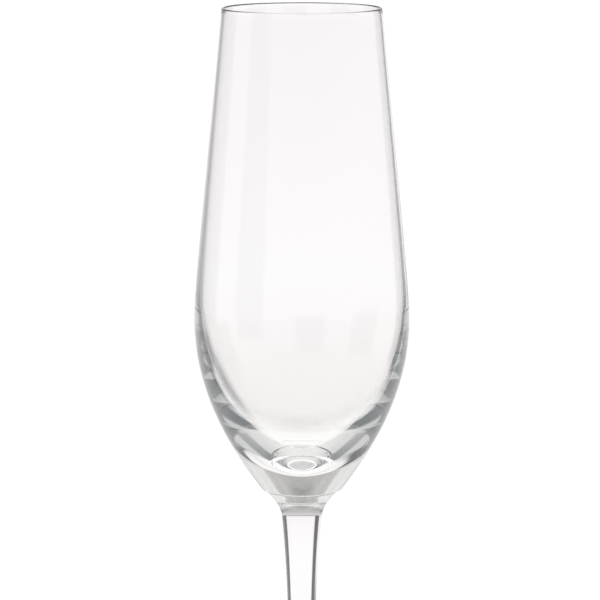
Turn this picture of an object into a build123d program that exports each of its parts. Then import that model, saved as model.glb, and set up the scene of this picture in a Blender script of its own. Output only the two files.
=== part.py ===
"""Champagne flute: a blown bowl, a drawn stem and a round foot, fused together while hot.

Millimetres, +Z up. The origin is the centre of the circle that the foot stands on.
"""

import os
from math import cos, radians, sin

from build123d import *

# --- Overall sizes ---
overall_height = 225.0  # table to rim
foot_radius = 33.0
bowl_height = 134.8  # rim down to the joint with the stem
foot_height = 9.0  # table up to the joint with the stem

# --- Bowl, outside ---
rim_radius = 22.2
rim_lean = 5.2  # degrees from upright: the mouth closes in towards the rim
belly_radius = 30.0
belly_below_rim = 86.5
base_radius = 11.2  # the bowl's outside at the joint
base_lean = 37.0  # degrees from upright: the cone that the bowl ends in
base_rounding = 0.9  # the melted corner round the joint
upper_pulls = (0.10, 0.45)  # from the belly to the rim: nearly a straight cone
lower_pulls = (0.38, 0.33)  # from the base to the belly

# --- Bowl, inside ---
rim_wall = 0.8
belly_wall = 1.55
inner_belly_rise = 3.5  # the inside is widest a little above the outside
floor_thickness = 8.2  # solid glass between the joint and the deepest point inside
cavity_pulls = (0.46, 0.21)  # from the belly to the floor: a rounded point, like an egg's

# --- Stem ---
joint_step = 0.7  # how far the stem's head stays inside the bowl's base
head_lean = 43.0  # degrees from upright, where the head leaves the bowl
head_length = 8.0
head_rounding = 0.3
head_pulls = (0.21, 0.41)
neck_radius = 5.6  # just under the head
neck_lean = 6.0
taper_pulls = (0.22, 0.40)
waist_radius = 3.8  # the slimmest place
waist_height = 44.0
foot_joint_radius = 6.5
flare_lean = 38.0  # degrees from upright, where stem and foot meet
flare_pulls = (0.50, 0.20)

# --- Foot ---
edge_thickness = 2.0
edge_slope = 4.0  # degrees from level, at the edge
foot_pulls = (0.28, 0.50)
ring_width = 3.5  # the flat ring that touches the table
hollow_depth = 1.8  # under the middle of the foot
hollow_lean = 10.0  # degrees from level, where the hollow starts
hollow_pulls = (0.30, 0.30)

# --- Heights that follow ---
bowl_joint_height = overall_height - bowl_height
belly_height = overall_height - belly_below_rim
floor_height = bowl_joint_height + floor_thickness
neck_height = bowl_joint_height - head_length


def towards(degrees):
    """The direction that far from straight down, leaning away from the axis."""
    return (sin(radians(degrees)), -cos(radians(degrees)))


DOWN = towards(0)
INWARD = towards(-90)
UP = towards(180)


def flow(start, leaving, finish, arriving, pulls):
    """A smooth curve that leaves and arrives in the given directions.

    The pulls are the lengths of the two ends' handles, as shares of the straight distance.
    """
    span = ((finish[0] - start[0]) ** 2 + (finish[1] - start[1]) ** 2) ** 0.5
    first_handle = (
        start[0] + leaving[0] * span * pulls[0],
        start[1] + leaving[1] * span * pulls[0],
    )
    last_handle = (
        finish[0] - arriving[0] * span * pulls[1],
        finish[1] - arriving[1] * span * pulls[1],
    )
    return Bezier(start, first_handle, last_handle, finish)


# --- Bowl: one section from the joint up the outside, over the rim and down the inside ---
rim_corner_height = overall_height - rim_wall / 2
outer_base = (base_radius, bowl_joint_height)
outer_rim = (rim_radius, rim_corner_height)
rim_top = (rim_radius - rim_wall / 2, overall_height)
inner_rim = (rim_radius - rim_wall, rim_corner_height)
outer_belly = (belly_radius, belly_height)
inner_belly = (belly_radius - belly_wall, belly_height + inner_belly_rise)
bowl_floor = (0, floor_height)

with BuildPart() as bowl:
    with BuildSketch(Plane.XZ):
        with BuildLine():
            Line((0, bowl_joint_height), outer_base)
            flow(outer_base, towards(180 - base_lean), outer_belly, UP, lower_pulls)
            flow(outer_belly, UP, outer_rim, towards(180 + rim_lean), upper_pulls)
            ThreePointArc(outer_rim, rim_top, inner_rim)
            flow(inner_rim, towards(rim_lean), inner_belly, DOWN, upper_pulls[::-1])
            flow(inner_belly, DOWN, bowl_floor, INWARD, cavity_pulls)
            Line(bowl_floor, (0, bowl_joint_height))
        make_face()
    revolve(axis=Axis.Z)
    joint_edges = bowl.edges().filter_by(GeomType.CIRCLE).group_by(Axis.Z)[0]
    fillet(joint_edges, radius=base_rounding)
bowl.part.label = "bowl"

# --- Stem: a flared head, a neck that tapers to the waist, and a flare down to the foot ---
stem_head = (base_radius - joint_step, bowl_joint_height)
stem_neck = (neck_radius, neck_height)
stem_waist = (waist_radius, waist_height)
stem_end = (foot_joint_radius, foot_height)

with BuildPart() as stem:
    with BuildSketch(Plane.XZ):
        with BuildLine():
            Line((0, bowl_joint_height), stem_head)
            flow(stem_head, towards(-head_lean), stem_neck, towards(-neck_lean), head_pulls)
            flow(stem_neck, towards(-neck_lean), stem_waist, DOWN, taper_pulls)
            flow(stem_waist, DOWN, stem_end, towards(flare_lean), flare_pulls)
            Line(stem_end, (0, foot_height))
            Line((0, foot_height), (0, bowl_joint_height))
        make_face()
    revolve(axis=Axis.Z)
    head_edges = stem.edges().filter_by(GeomType.CIRCLE).group_by(Axis.Z)[-1]
    fillet(head_edges, radius=head_rounding)
stem.part.label = "stem"

# --- Foot: a shallow cone with a rounded edge, hollow underneath inside its flat ring ---
edge_radius = edge_thickness / 2
edge_top = (foot_radius - edge_radius, edge_thickness)
edge_tip = (foot_radius, edge_radius)
ring_outside = (foot_radius - edge_radius, 0)
ring_inside = (foot_radius - edge_radius - ring_width, 0)
hollow_top = (0, hollow_depth)

with BuildPart() as foot:
    with BuildSketch(Plane.XZ):
        with BuildLine():
            Line((0, foot_height), stem_end)
            flow(stem_end, towards(flare_lean), edge_top, towards(90 - edge_slope), foot_pulls)
            ThreePointArc(edge_top, edge_tip, ring_outside)
            Line(ring_outside, ring_inside)
            flow(ring_inside, towards(-90 - hollow_lean), hollow_top, INWARD, hollow_pulls)
            Line(hollow_top, (0, foot_height))
        make_face()
    revolve(axis=Axis.Z)
foot.part.label = "foot"

os.makedirs("parts", exist_ok=True)
export_step(bowl.part, "parts/bowl.step")
export_step(stem.part, "parts/stem.step")
export_step(foot.part, "parts/foot.step")
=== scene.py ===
# %% [markdown]
# # A champagne flute, lathed in glass
#
# A plain flute is three gathers of glass that are joined while hot: a blown bowl, a drawn stem
# and a round foot. Glass has no colour of its own, so nearly all that the eye sees is the room,
# bent by its curves. That sets the order of this lesson: exact shapes first, then one honest
# glass, then a room that is bright behind the glass and dark beside it.

# %% Load the frame that the pieces must fit
import math

import bmesh
import bpy
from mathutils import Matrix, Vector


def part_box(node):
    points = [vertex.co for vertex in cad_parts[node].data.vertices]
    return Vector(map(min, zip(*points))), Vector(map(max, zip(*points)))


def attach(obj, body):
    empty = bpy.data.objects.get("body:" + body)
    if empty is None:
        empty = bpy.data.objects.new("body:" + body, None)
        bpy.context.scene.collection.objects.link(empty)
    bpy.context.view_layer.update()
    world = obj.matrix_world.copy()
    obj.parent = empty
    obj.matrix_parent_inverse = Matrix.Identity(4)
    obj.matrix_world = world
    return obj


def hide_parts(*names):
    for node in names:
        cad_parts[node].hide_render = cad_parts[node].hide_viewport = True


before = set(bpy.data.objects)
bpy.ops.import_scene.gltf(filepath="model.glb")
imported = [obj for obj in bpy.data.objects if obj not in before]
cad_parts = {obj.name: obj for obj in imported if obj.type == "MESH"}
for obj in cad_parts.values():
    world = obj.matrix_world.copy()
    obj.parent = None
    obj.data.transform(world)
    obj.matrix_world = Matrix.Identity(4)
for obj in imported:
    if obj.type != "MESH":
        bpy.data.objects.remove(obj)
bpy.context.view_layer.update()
print("pieces to dress:", sorted(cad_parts))

# %% [markdown]
# ## Sizes
#
# A lathed shape is a section swung round an axis, so a handful of radii and heights describe the
# whole glass. They are the real object's sizes in millimetres, and one factor turns them to
# metres. The overall height comes from the loaded model, so the two can't drift apart.

# %% The driving sizes, in millimetres
MM = 0.001

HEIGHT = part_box("bowl")[1][2] / MM
BOWL_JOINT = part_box("bowl")[0][2] / MM
FOOT_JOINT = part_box("foot")[1][2] / MM

RIM_RADIUS = 22.2
RIM_LEAN = 5.2
RIM_WALL = 0.8
BELLY_RADIUS = 30.0
BELLY_HEIGHT = HEIGHT - 86.5
BELLY_WALL = 1.55
INNER_BELLY_RISE = 3.5
BASE_RADIUS = 11.2
BASE_LEAN = 37.0
BASE_ROUNDING = 0.9
FLOOR_HEIGHT = BOWL_JOINT + 8.2

HEAD_RADIUS = BASE_RADIUS - 0.7
HEAD_LEAN = 43.0
HEAD_ROUNDING = 0.3
NECK_RADIUS = 5.6
NECK_LEAN = 6.0
NECK_HEIGHT = BOWL_JOINT - 8.0
WAIST_RADIUS = 3.8
WAIST_HEIGHT = 44.0
FLARE_RADIUS = 6.5
FLARE_LEAN = 38.0

FOOT_RADIUS = 33.0
EDGE_THICKNESS = 2.0
EDGE_SLOPE = 4.0
RING_WIDTH = 3.5
HOLLOW_DEPTH = 1.8
HOLLOW_LEAN = 10.0
print(f"{HEIGHT:.1f} mm tall, bowl joint at {BOWL_JOINT:.1f} mm")

# %% [markdown]
# ## Drawing a section
#
# Hot glass flows, so its outline has no corners except where a tool or a joint made one. Each
# stretch here is a cubic curve with a direction at both ends, the same way that a maker would
# describe it: "leaves the belly straight up, arrives at the rim leaning in five degrees". A
# polyline would need hundreds of pasted points, and its facets would show in every refraction.


# %% Directions, flowing curves and rounded corners
def towards(degrees):
    """The direction that far from straight down, leaning away from the axis."""
    angle = math.radians(degrees)
    return (math.sin(angle), -math.cos(angle))


DOWN = towards(0)
INWARD = towards(-90)
UP = towards(180)


def flow(start, leaving, finish, arriving, pulls, steps):
    """Points of a cubic curve between two ends, each with its direction and its handle's pull."""
    span = math.dist(start, finish)
    first = [start[i] + leaving[i] * span * pulls[0] for i in (0, 1)]
    last = [finish[i] - arriving[i] * span * pulls[1] for i in (0, 1)]
    points = []
    for step in range(steps + 1):
        t = step / steps
        shares = ((1 - t) ** 3, 3 * (1 - t) ** 2 * t, 3 * (1 - t) * t * t, t**3)
        corners = (start, first, last, finish)
        points.append(tuple(sum(s * c[i] for s, c in zip(shares, corners)) for i in (0, 1)))
    return points


def arc(centre, radius, first_degrees, last_degrees, steps):
    """Points along a circle, with the angle counted from outward, turning upwards."""
    points = []
    for step in range(steps + 1):
        angle = math.radians(first_degrees + (last_degrees - first_degrees) * step / steps)
        points.append((centre[0] + radius * math.cos(angle), centre[1] + radius * math.sin(angle)))
    return points


def joined(*stretches):
    """One outline from several stretches, without the points that two of them share."""
    outline = list(stretches[0])
    for stretch in stretches[1:]:
        outline += [p for p in stretch if math.dist(p, outline[-1]) > 1e-6]
    return outline


print("a flowing curve of 4 steps:", [tuple(round(c, 1) for c in p) for p in
      flow((0, 0), UP, (10, 10), UP, (0.4, 0.4), 4)])

# %% [markdown]
# ## Turning the section
#
# Blender's Screw modifier or a spin would both revolve an outline. Here the rings are made by
# hand in bmesh, because the poles on the axis then get one clean fan of triangles, and because
# the faces of a fused joint can be marked as they are made.


# %% The lathe
TURNS = 256


def lathe(name, outline, joint_spans=()):
    """A closed solid of revolution. joint_spans are index ranges whose faces touch other glass."""
    mesh = bpy.data.meshes.new(name)
    shape = bmesh.new()
    rings = []
    for radius, height in outline:
        if radius < 1e-6:
            rings.append([shape.verts.new((0, 0, height * MM))])
            continue
        ring = []
        for turn in range(TURNS):
            angle = 2 * math.pi * turn / TURNS
            place = (radius * math.cos(angle), radius * math.sin(angle), height)
            ring.append(shape.verts.new([c * MM for c in place]))
        rings.append(ring)
    for index, (low, high) in enumerate(zip(rings, rings[1:])):
        is_joint = any(first <= index < last for first, last in joint_spans)
        for turn in range(TURNS):
            after = (turn + 1) % TURNS
            if len(low) == 1:
                corners = (low[0], high[after], high[turn])
            elif len(high) == 1:
                corners = (low[turn], low[after], high[0])
            else:
                corners = (low[turn], low[after], high[after], high[turn])
            face = shape.faces.new(corners)
            face.smooth = not is_joint
            face.material_index = 1 if is_joint else 0
    bmesh.ops.recalc_face_normals(shape, faces=shape.faces)
    shape.to_mesh(mesh)
    shape.free()
    piece = bpy.data.objects.new(name, mesh)
    bpy.context.scene.collection.objects.link(piece)
    return piece


# %% [markdown]
# ## The bowl
#
# The bowl is blown into a turning mould: the outside is the mould's, and the inside is where the
# air pushed the glass. The wall is about a millimetre at the rim and thickens towards the base,
# where a solid plug of glass is left. The rim is melted round by a flame.

# %% Blow the bowl
rim_corner = HEIGHT - RIM_WALL / 2
outer_belly = (BELLY_RADIUS, BELLY_HEIGHT)
inner_belly = (BELLY_RADIUS - BELLY_WALL, BELLY_HEIGHT + INNER_BELLY_RISE)
outer_rim = (RIM_RADIUS, rim_corner)
inner_rim = (RIM_RADIUS - RIM_WALL, rim_corner)

rounding_reach = BASE_ROUNDING * math.tan(math.radians((90 - BASE_LEAN) / 2))
round_centre = (BASE_RADIUS - rounding_reach, BOWL_JOINT + BASE_ROUNDING)
round_end = arc(round_centre, BASE_ROUNDING, -90, -BASE_LEAN, 10)

bowl_outline = joined(
    [(0, BOWL_JOINT), (round_centre[0], BOWL_JOINT)],
    round_end,
    flow(round_end[-1], towards(180 - BASE_LEAN), outer_belly, UP, (0.38, 0.33), 90),
    flow(outer_belly, UP, outer_rim, towards(180 + RIM_LEAN), (0.10, 0.45), 70),
    arc((RIM_RADIUS - RIM_WALL / 2, rim_corner), RIM_WALL / 2, 0, 180, 16),
    flow(inner_rim, towards(RIM_LEAN), inner_belly, DOWN, (0.45, 0.10), 70),
    flow(inner_belly, DOWN, (0, FLOOR_HEIGHT), INWARD, (0.46, 0.21), 110),
)
bowl = lathe("blown_bowl", bowl_outline, joint_spans=[(0, 1)])
print("bowl:", len(bowl.data.polygons), "faces")

# %% [markdown]
# ## The stem
#
# The stem is drawn out of the hot base or pressed as its own gather: a head that spreads under
# the bowl, a neck that tapers to a waist, and a flare into the foot.

# %% Draw the stem
head_reach = HEAD_ROUNDING / math.tan(math.radians((90 - HEAD_LEAN) / 2))
head_centre = (HEAD_RADIUS - head_reach, BOWL_JOINT - HEAD_ROUNDING)
head_round = arc(head_centre, HEAD_ROUNDING, 90, -HEAD_LEAN, 8)
neck = (NECK_RADIUS, NECK_HEIGHT)
waist = (WAIST_RADIUS, WAIST_HEIGHT)
flare = (FLARE_RADIUS, FOOT_JOINT)

stem_outline = joined(
    [(0, BOWL_JOINT), (head_centre[0], BOWL_JOINT)],
    head_round,
    flow(head_round[-1], towards(-HEAD_LEAN), neck, towards(-NECK_LEAN), (0.21, 0.41), 40),
    flow(neck, towards(-NECK_LEAN), waist, DOWN, (0.22, 0.40), 50),
    flow(waist, DOWN, flare, towards(FLARE_LEAN), (0.50, 0.20), 50),
    [(0, FOOT_JOINT)],
)
last_span = len(stem_outline) - 2
stem = lathe("drawn_stem", stem_outline, joint_spans=[(0, 1), (last_span, last_span + 1)])
print("stem:", len(stem.data.polygons), "faces")

# %% [markdown]
# ## The foot
#
# The foot is pressed or spun flat from a third gather: a low cone with a melted edge. It stands
# on an outer ring, and the middle is hollow so that the glass doesn't rock.

# %% Press the foot
edge_radius = EDGE_THICKNESS / 2
edge_centre = (FOOT_RADIUS - edge_radius, edge_radius)
edge_top = (edge_centre[0], EDGE_THICKNESS)
ring_inside = (edge_centre[0] - RING_WIDTH, 0)

foot_outline = joined(
    [(0, FOOT_JOINT), flare],
    flow(flare, towards(FLARE_LEAN), edge_top, towards(90 - EDGE_SLOPE), (0.28, 0.50), 70),
    arc(edge_centre, edge_radius, 90, -90, 24),
    [(edge_centre[0], 0), ring_inside],
    flow(ring_inside, towards(-90 - HOLLOW_LEAN), (0, HOLLOW_DEPTH), INWARD, (0.3, 0.3), 50),
)
foot = lathe("pressed_foot", foot_outline, joint_spans=[(0, 1)])
print("foot:", len(foot.data.polygons), "faces")

# %% Each piece stands for its node and rides on its body
for piece, node_name in ((bowl, "bowl"), (stem, "stem"), (foot, "foot")):
    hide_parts(node_name)
    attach(piece, "root")
print("the three pieces stand for the three nodes")

# %% [markdown]
# ## Glass
#
# Clear soda-lime or crystal tableware glass bends light with an index near 1.52. The colour
# barely matters: a trace of grey takes out the glow of a perfectly lossless glass. Fire polish
# leaves no grain, so the roughness is almost nothing, and what gives real blown glass away is a
# slow waviness, which a large, weak noise in the bump gives.


# %% Colours and nodes
def linear(hex_colour):
    """An sRGB hex colour as linear RGBA."""
    values = [int(hex_colour[i : i + 2], 16) / 255 for i in (1, 3, 5)]
    values = [v / 12.92 if v <= 0.04045 else ((v + 0.055) / 1.055) ** 2.4 for v in values]
    return (*values, 1)


def node(tree, kind, settings=None, **inputs):
    """Adds a node. settings are its properties.

    Each input is a value, another node's socket, or a node, which gives its first output. An
    input is called by its name, with _ for a space, or by _ and its number.
    """
    made = tree.nodes.new(kind)
    for key, value in (settings or {}).items():
        setattr(made, key, value)
    for key, value in inputs.items():
        socket = made.inputs[int(key[1:]) if key[1:].isdigit() else key.replace("_", " ")]
        if isinstance(value, bpy.types.Node):
            value = value.outputs[0]
        if isinstance(value, bpy.types.NodeSocket):
            tree.links.new(value, socket)
        else:
            socket.default_value = value
    return made


print("the glass's tint in linear light:", [round(v, 3) for v in linear("#FDFDFD")])


# %% Fire-polished glass
GLASS_INDEX = 1.52
ALONG_THE_AXIS = 0.35  # the waves are drawn out along the axis, as the glass was
MOST_ROUGHNESS = 0.02


def fire_polished_glass(name, wave_mm, wave_depth_mm):
    """Clear tableware glass whose surface has slow waves of the given width and depth."""
    material = bpy.data.materials.new(name)
    material.use_nodes = True
    tree = material.node_tree
    tree.nodes.clear()
    place = node(tree, "ShaderNodeTexCoord").outputs["Object"]
    drawn_out = node(tree, "ShaderNodeMapping", Vector=place, Scale=(1, 1, ALONG_THE_AXIS))
    waves = node(tree, "ShaderNodeTexNoise", Vector=drawn_out, Scale=1 / (wave_mm * MM), Detail=1.0)
    height_of_wave = waves.outputs["Fac"]
    bump = node(tree, "ShaderNodeBump", Height=height_of_wave, Distance=wave_depth_mm * MM)
    bump.inputs["Strength"].default_value = 1.0
    polish = node(tree, "ShaderNodeMapRange", Value=height_of_wave, To_Min=0.0,
                  To_Max=MOST_ROUGHNESS)
    glass = node(tree, "ShaderNodeBsdfPrincipled", Roughness=polish, Normal=bump)
    glass.inputs["Base Color"].default_value = linear("#FDFDFD")
    glass.inputs["IOR"].default_value = GLASS_INDEX
    glass.inputs["Transmission Weight"].default_value = 1.0
    node(tree, "ShaderNodeOutputMaterial", Surface=glass)
    return material


# %% [markdown]
# Where two hot gathers fuse, no air is left between them and light goes straight through. Two
# closed meshes that meet would still show a mirror there, so the touching faces get a clear
# shader that bends nothing.


# %% The fused joint
def fused_joint():
    """Glass meeting glass: clear, and bending nothing."""
    material = bpy.data.materials.new("fused_joint")
    material.use_nodes = True
    tree = material.node_tree
    tree.nodes.clear()
    node(tree, "ShaderNodeOutputMaterial", Surface=node(tree, "ShaderNodeBsdfTransparent"))
    return material


# %% Dress the three pieces
blown = fire_polished_glass("blown_soda_lime_glass", wave_mm=16, wave_depth_mm=0.005)
drawn = fire_polished_glass("drawn_soda_lime_glass", wave_mm=6, wave_depth_mm=0.01)
pressed = fire_polished_glass("pressed_soda_lime_glass", wave_mm=9, wave_depth_mm=0.01)
joint = fused_joint()
for piece, glass in ((bowl, blown), (stem, drawn), (foot, pressed)):
    piece.data.materials.append(glass)
    piece.data.materials.append(joint)
print("materials:", [m.name for m in bpy.data.materials])

# %% [markdown]
# ## The room
#
# Glass is lit on a bright field. Straight behind it stands a white wall, a little wider than the
# glass; beside that wall stand dark flags, which the curved edges catch and draw as the dark
# outline. Higher up, the wall turns grey. A studio could be built from planes and lamps, but then
# each one would show in the other views. Here the order from floor to ceiling is one ramp of
# colour in the world, and the flags are strips cut out of it.

# %% Where a ray of light points
MATH = "ShaderNodeMath"
PLUS, MINUS, TIMES = ({"operation": name} for name in ("ADD", "SUBTRACT", "MULTIPLY"))
LARGER, ABOVE = ({"operation": name} for name in ("MAXIMUM", "GREATER_THAN"))
DEGREES = {"operation": "DEGREES"}
HALF_TURN = 180

world = bpy.data.worlds.new("bright_field_studio")
bpy.context.scene.world = world
world.use_nodes = True
sky = world.node_tree
sky.nodes.clear()
direction = node(sky, "ShaderNodeTexCoord").outputs["Generated"]
parts = node(sky, "ShaderNodeSeparateXYZ", Vector=direction).outputs
turn = node(sky, MATH, {"operation": "ARCTAN2"}, _0=parts["X"], _1=parts["Y"])
azimuth = node(sky, MATH, DEGREES, _0=turn)
height = node(sky, MATH, DEGREES, _0=node(sky, MATH, {"operation": "ARCSINE"}, _0=parts["Z"]))
print("the room is drawn in degrees round and degrees up:", len(sky.nodes), "nodes")

# %% From the floor to the ceiling
LEVELS = [  # degrees above the horizon, and the colour there
    (-90, "#EBEAE8"), (-50, "#ECEAE9"), (-35, "#F0EDEC"), (-20, "#FAF7F6"), (-9, "#FEFDFD"),
    (-3, "#FAF4F6"), (3, "#F8F2F4"), (9, "#D2D0CF"), (20, "#B9B8B6"), (35, "#B2B1AE"),
    (55, "#B4B3B0"), (68, "#C0BFBC"), (80, "#A6A5A4"), (90, "#9A9999"),
]
share_of_turn = node(sky, MATH, TIMES, _0=height, _1=1 / HALF_TURN)
halfway_up = node(sky, MATH, PLUS, _0=share_of_turn, _1=0.5)
ramp = node(sky, "ShaderNodeValToRGB", Fac=halfway_up)
stops = ramp.color_ramp.elements
while len(stops) < len(LEVELS):
    stops.new(0.5)
for stop, (degrees, colour) in zip(stops, LEVELS):
    stop.position = degrees / HALF_TURN + 0.5
    stop.color = linear(colour)
print("the room has", len(stops), "levels")

# %% [markdown]
# Across from each place that the glass is seen from there is a white window with a dark flag on
# either side, at the height where the light that reaches that place comes from. The thin walls of
# the bowl hardly bend light and show the window; their curved edges show the flags. The strips
# have soft ends, because a real flag stands close to the glass and casts no hard edge.

# %% A strip with soft ends
SOFT = 3.0  # degrees
RANGE = "ShaderNodeMapRange"
EASED = {"interpolation_type": "SMOOTHSTEP"}


def within(value, low, high):
    """1 between low and high, with soft ends."""
    past_low, past_high = (
        node(sky, RANGE, EASED, Value=value, From_Min=end - SOFT, From_Max=end + SOFT)
        for end in (low, high)
    )
    return node(sky, MATH, TIMES, _0=past_low, _1=node(sky, MATH, MINUS, _0=1.0, _1=past_high))


# %% Windows and their flags, in degrees
WINDOWS = [  # the middle of the window, and the lowest and highest it reaches
    (0, -16, 4), (-90, -9, 6), (135, -19, -8), (-45, -45, -18),
]
WINDOW_LEFT = -13
WINDOW_RIGHT = 19
FLAG_WIDTH = 33
BAND_REACH = 15  # how much further down the flags go for light that turned inside a wall
LENS_LEFT = -31
LENS_RIGHT = 40

flags = band_flags = lens_view = 0.0
for middle, lowest, highest in WINDOWS:
    raised = node(sky, MATH, PLUS, _0=azimuth, _1=5 * HALF_TURN - middle)
    wrapped = node(sky, MATH, {"operation": "MODULO"}, _0=raised, _1=2 * HALF_TURN)
    turned = node(sky, MATH, MINUS, _0=wrapped, _1=HALF_TURN)
    left_flag = within(turned, WINDOW_LEFT - FLAG_WIDTH, WINDOW_LEFT)
    right_flag = within(turned, WINDOW_RIGHT, WINDOW_RIGHT + FLAG_WIDTH)
    both_flags = node(sky, MATH, PLUS, _0=left_flag, _1=right_flag)
    at_height = within(height, lowest, highest)
    and_lower = within(height, lowest - BAND_REACH, highest)
    strips = node(sky, MATH, TIMES, _0=both_flags, _1=at_height)
    long_strips = node(sky, MATH, TIMES, _0=both_flags, _1=and_lower)
    across = node(sky, MATH, TIMES, _0=within(turned, LENS_LEFT, LENS_RIGHT), _1=at_height)
    flags = node(sky, MATH, LARGER, _0=flags, _1=strips)
    band_flags = node(sky, MATH, LARGER, _0=band_flags, _1=long_strips)
    lens_view = node(sky, MATH, LARGER, _0=lens_view, _1=across)
print(len(WINDOWS), "windows, each", WINDOW_RIGHT - WINDOW_LEFT, "degrees wide")

# %% [markdown]
# The windows share one room, so a flag of one can stand in another. The front window keeps its
# white all the way down. The flags also pale upwards, where the wall behind them turns grey.

# %% Keep the front window white
PALE_FROM = -9  # degrees above the horizon
PALE_TO = 4
PALEST = 0.4
LENS_LOWEST = -45
LENS_HIGHEST = 6

front_window = within(azimuth, WINDOW_LEFT, WINDOW_RIGHT)
outside_front = node(sky, MATH, MINUS, _0=1.0, _1=front_window)
paling = node(sky, RANGE, Value=height, From_Min=PALE_FROM, From_Max=PALE_TO, To_Min=1,
              To_Max=PALEST)
flags = node(sky, MATH, TIMES, _0=node(sky, MATH, TIMES, _0=flags, _1=paling), _1=outside_front)
band_flags = node(sky, MATH, TIMES, _0=band_flags, _1=outside_front)
outside_lens_view = node(sky, MATH, MINUS, _0=1.0, _1=lens_view)
lens_heights = within(height, LENS_LOWEST, LENS_HIGHEST)
beside_lens = node(sky, MATH, TIMES, _0=outside_lens_view, _1=lens_heights)
print("the flags stop at", PALE_TO, "degrees above the horizon")

# %% [markdown]
# Solid pieces are strong lenses, so the stem gathers nearly half the room: for it the dark starts
# further out. Light that turns once inside a wall draws the wall's dark band. Light that runs
# round inside a wall comes out in every direction, and most of it would come from the unlit side
# of the room. Blender counts how often light was let through and how often it was reflected,
# which tells these kinds apart.

# %% Kinds of light, by how they came through the glass
ONE_WALL = 2  # once in and once out
path = node(sky, "ShaderNodeLightPath").outputs
in_one_wall = node(sky, MATH, {"operation": "COMPARE"}, _0=path["Transmission Depth"], _1=ONE_WALL,
                   _2=0.5)
through_all = node(sky, MATH, ABOVE, _0=path["Transmission Depth"], _1=ONE_WALL + 0.5)
let_through = node(sky, MATH, ABOVE, _0=path["Transmission Depth"], _1=0.5)
reflected = node(sky, MATH, ABOVE, _0=path["Glossy Depth"], _1=0.5)
reflected_often = node(sky, MATH, ABOVE, _0=path["Glossy Depth"], _1=1.5)
from_table = node(sky, MATH, ABOVE, _0=path["Diffuse Depth"], _1=0.5)

not_reflected = node(sky, MATH, MINUS, _0=1.0, _1=reflected)
turned_in_wall = node(sky, MATH, TIMES, _0=in_one_wall, _1=reflected)
lens_light = node(sky, MATH, TIMES, _0=in_one_wall, _1=not_reflected)
trapped_light = node(sky, MATH, TIMES, _0=in_one_wall, _1=reflected_often)
band_light = node(sky, MATH, MINUS, _0=turned_in_wall, _1=trapped_light)
stray_light = node(sky, MATH, TIMES, _0=through_all, _1=reflected)
other_kinds = node(sky, MATH, PLUS, _0=trapped_light, _1=stray_light)
not_lens_light = node(sky, MATH, MINUS, _0=1.0, _1=lens_light)
plain_light = node(sky, MATH, MINUS, _0=not_lens_light, _1=other_kinds)
seen_through = node(sky, MATH, TIMES, _0=plain_light, _1=let_through)
print("kinds of light: lens, band, trapped, stray and plain")

# %% What each kind of light sees
MIX = "ShaderNodeMix"
COLOURS = {"data_type": "RGBA"}
UNLIT_FROM = 15  # degrees away from the front window
UNLIT_TO = 125
SOFT_BOX = (17, 34)  # degrees above the horizon, on the unlit side
GREY_FLAG, LENS_FLAG, BAND_FLAG = (linear(colour) for colour in ("#62676A", "#4A4F52", "#3C4144"))
UNLIT_SIDE, LIT_STRIP, LIT_SIDE = (linear(colour) for colour in ("#6C7174", "#C6C8C8", "#EBEAE8"))
TABLE_LIGHT = [1.25, 1.25, 1.25, 1]
BRIGHTNESS = 1.03

away = node(sky, MATH, {"operation": "ABSOLUTE"}, _0=azimuth)
behind = node(sky, RANGE, EASED, Value=away, From_Min=UNLIT_FROM, From_Max=UNLIT_TO)
unlit = node(sky, MIX, COLOURS, _0=within(height, *SOFT_BOX), _6=UNLIT_SIDE, _7=LIT_STRIP)
trapped_sees = node(sky, MIX, COLOURS, _0=behind, _6=LIT_SIDE, _7=unlit.outputs[2])

room = ramp.outputs["Color"]
for share, colour in (
    (node(sky, MATH, TIMES, _0=seen_through, _1=flags), GREY_FLAG),
    (node(sky, MATH, TIMES, _0=lens_light, _1=beside_lens), LENS_FLAG),
    (node(sky, MATH, TIMES, _0=band_light, _1=band_flags), BAND_FLAG),
    (trapped_light, trapped_sees.outputs[2]),
    (from_table, TABLE_LIGHT),
    (path["Is Camera Ray"], linear("#FFFFFF")),
):
    room = node(sky, MIX, COLOURS, _0=share, _6=room, _7=colour).outputs[2]
background = node(sky, "ShaderNodeBackground", Color=room, Strength=BRIGHTNESS)
node(sky, "ShaderNodeOutputWorld", Surface=background)
print("the room's shader has", len(sky.nodes), "nodes")

# %% [markdown]
# ## The table
#
# The glass stands on a sheet of matt white paper. A curved paper sweep could be modelled, but a
# disc whose edge fades out runs into the white wall with no horizon from every side. It lies a
# hair below the foot, so that the two surfaces don't share a plane.

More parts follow.
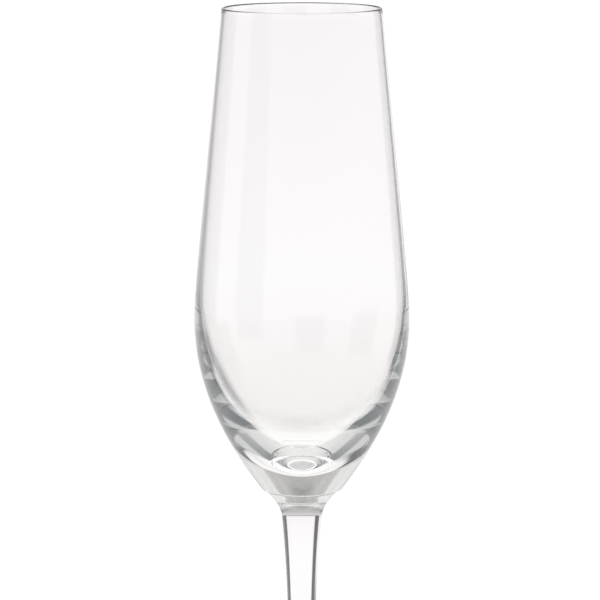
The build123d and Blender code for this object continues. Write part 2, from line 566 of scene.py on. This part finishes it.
# %% A pale table that fades into the wall
TABLE_RADIUS = 0.24  # metres
FADE_FROM = 0.06
FADE_TO = TABLE_RADIUS * 0.97
HAIR_BELOW = -0.1 * MM
bpy.ops.mesh.primitive_circle_add(vertices=96, radius=TABLE_RADIUS, fill_type="NGON",
                                  location=(0, 0, HAIR_BELOW))
table = bpy.context.object
table.name = "table"
paper = bpy.data.materials.new("matt_white_paper")
paper.use_nodes = True
tree = paper.node_tree
tree.nodes.clear()
place = node(tree, "ShaderNodeTexCoord").outputs["Object"]
reach = node(tree, "ShaderNodeVectorMath", {"operation": "LENGTH"}, _0=place).outputs["Value"]
fade = node(tree, RANGE, EASED, Value=reach, From_Min=FADE_FROM, From_Max=FADE_TO)
matt = node(tree, "ShaderNodeBsdfDiffuse", Color=linear("#FAFAF9"))
gone = node(tree, "ShaderNodeBsdfTransparent")
mixed = node(tree, "ShaderNodeMixShader", _0=fade, _1=matt, _2=gone)
node(tree, "ShaderNodeOutputMaterial", Surface=mixed)
table.data.materials.append(paper)
print("the table fades out at", round(FADE_TO, 3), "metres")

# %% [markdown]
# ## The camera
#
# A long lens from a metre away keeps the rim's ellipse flat and the stem upright. The camera
# stands a little above the rim and looks down into the mouth.

# %% Set up the camera
LENS_MM = 218
SENSOR_MM = 36
CAMERA_DISTANCE = 1.0  # metres
EYE_ABOVE_RIM = 4.1  # degrees
CAMERA_PITCH = 8.70  # degrees below level
CAMERA_TURN = 0.03  # degrees

camera_data = bpy.data.cameras.new("camera")
camera = bpy.data.objects.new("camera", camera_data)
bpy.context.scene.collection.objects.link(camera)
camera_data.lens = LENS_MM
camera_data.sensor_width = SENSOR_MM
camera_height = HEIGHT * MM + CAMERA_DISTANCE * math.tan(math.radians(EYE_ABOVE_RIM))
camera.location = (0, -CAMERA_DISTANCE, camera_height)
camera.rotation_euler = (math.radians(90 - CAMERA_PITCH), 0, math.radians(CAMERA_TURN))
bpy.context.scene.camera = camera
bpy.context.scene.view_settings.view_transform = "Standard"
print("the camera stands", round(camera_height, 3), "metres up")

# %% [markdown]
# ## Long paths
#
# Light can run a dozen reflections inside the wall of the bowl's base before it gets out. Cut
# short, those paths turn black, so the scene allows long ones.

# %% Let light bounce until it is out of the glass
light_paths = bpy.context.scene.cycles
light_paths.max_bounces = 40
light_paths.glossy_bounces = 32
light_paths.transmission_bounces = 40
light_paths.transparent_max_bounces = 24
print("light may bounce", light_paths.max_bounces, "times")
